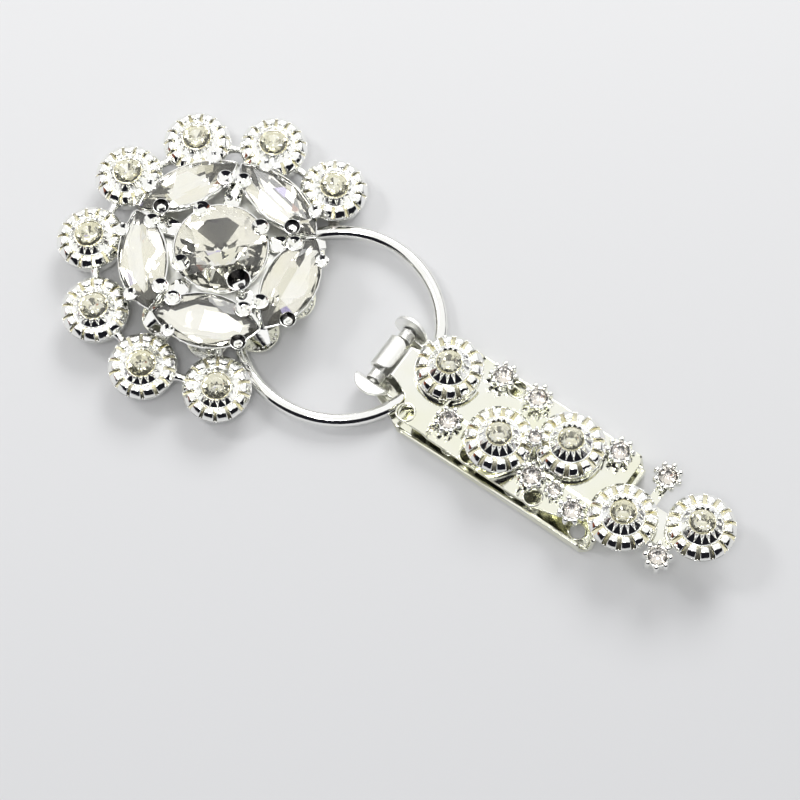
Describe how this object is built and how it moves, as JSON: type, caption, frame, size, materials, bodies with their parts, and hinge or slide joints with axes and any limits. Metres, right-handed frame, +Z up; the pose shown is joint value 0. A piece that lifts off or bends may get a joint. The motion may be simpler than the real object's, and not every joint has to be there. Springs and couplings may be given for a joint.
{
  "type": "rhinestone hair clip",
  "caption": "Silver-plated hair clip: a domed flower of navette crystals and ribbed rim cups on a wire ring, with a crystal-decorated sprung alligator clip hanging on the same ring.",
  "frame": {"origin": "on the flat underside of the lower jaw, straight below the middle of the ring's wire where the clip hangs on it", "axes": "+X along the clip from the ring to the tip, +Y across the clip, +Z up from the resting side to the stones"},
  "size_m": [0.1161, 0.052, 0.0124],
  "materials": {
    "plated_casting": "bright silver plate on cast and stamped cups",
    "plated_sheet": "bright silver plate on sheet",
    "spring_steel": "plated wire",
    "crystal": "clear faceted crystal"
  },
  "bodies": {
    "flower": {"centre_setting": "plated_casting", "centre_stone": "crystal", "flower_base_plate": "plated_sheet", "navette_setting_1": "plated_casting", "navette_setting_2": "plated_casting", "navette_setting_3": "plated_casting", "navette_setting_4": "plated_casting", "navette_setting_5": "plated_casting", "navette_stone_1": "crystal", "navette_stone_2": "crystal", "navette_stone_3": "crystal", "navette_stone_4": "crystal", "navette_stone_5": "crystal", "rim_cup_1": "plated_casting", "rim_cup_2": "plated_casting", "rim_cup_3": "plated_casting", "rim_cup_4": "plated_casting", "rim_cup_5": "plated_casting", "rim_cup_6": "plated_casting", "rim_cup_7": "plated_casting", "rim_cup_8": "plated_casting", "rim_links": "plated_casting", "rim_stone_1": "crystal", "rim_stone_2": "crystal", "rim_stone_3": "crystal", "rim_stone_4": "crystal", "rim_stone_5": "crystal", "rim_stone_6": "crystal", "rim_stone_7": "crystal", "rim_stone_8": "crystal", "ring_solder": "plated_casting"},
    "ring": {"ring": "plated_casting"},
    "lower_jaw": {"lower_jaw": "plated_sheet", "hinge_pin": "spring_steel", "torsion_spring": "spring_steel"},
    "upper_jaw": {"accent_settings": "plated_casting", "accent_stones": "crystal", "backing_strip": "plated_sheet", "clip_cup_1": "plated_casting", "clip_cup_2": "plated_casting", "clip_cup_3": "plated_casting", "clip_cup_4": "plated_casting", "clip_cup_5": "plated_casting", "clip_stone_1": "crystal", "clip_stone_2": "crystal", "clip_stone_3": "crystal", "clip_stone_4": "crystal", "clip_stone_5": "crystal", "upper_jaw": "plated_sheet"}
  },
  "joints": [
    {"name": "clip_slides_round_ring", "type": "hinge", "parent": "flower", "child": "ring", "pos_m": [-0.01585, 0, 0.00205], "axis": [0, 0, 1], "range_deg": [-60, 75]},
    {"name": "clip_swings_on_wire", "type": "hinge", "parent": "ring", "child": "lower_jaw", "pos_m": [0, 0, 0.00345], "axis": [0, -1, 0], "range_deg": [-10, 35]},
    {"name": "jaw_opens", "type": "hinge", "parent": "lower_jaw", "child": "upper_jaw", "pos_m": [-0.0059, 0, 0.003], "axis": [0, -1, 0], "range_deg": [0, 35], "stiffness_Nm_per_rad": 0.03, "springref_deg": -20.05}
  ]
}
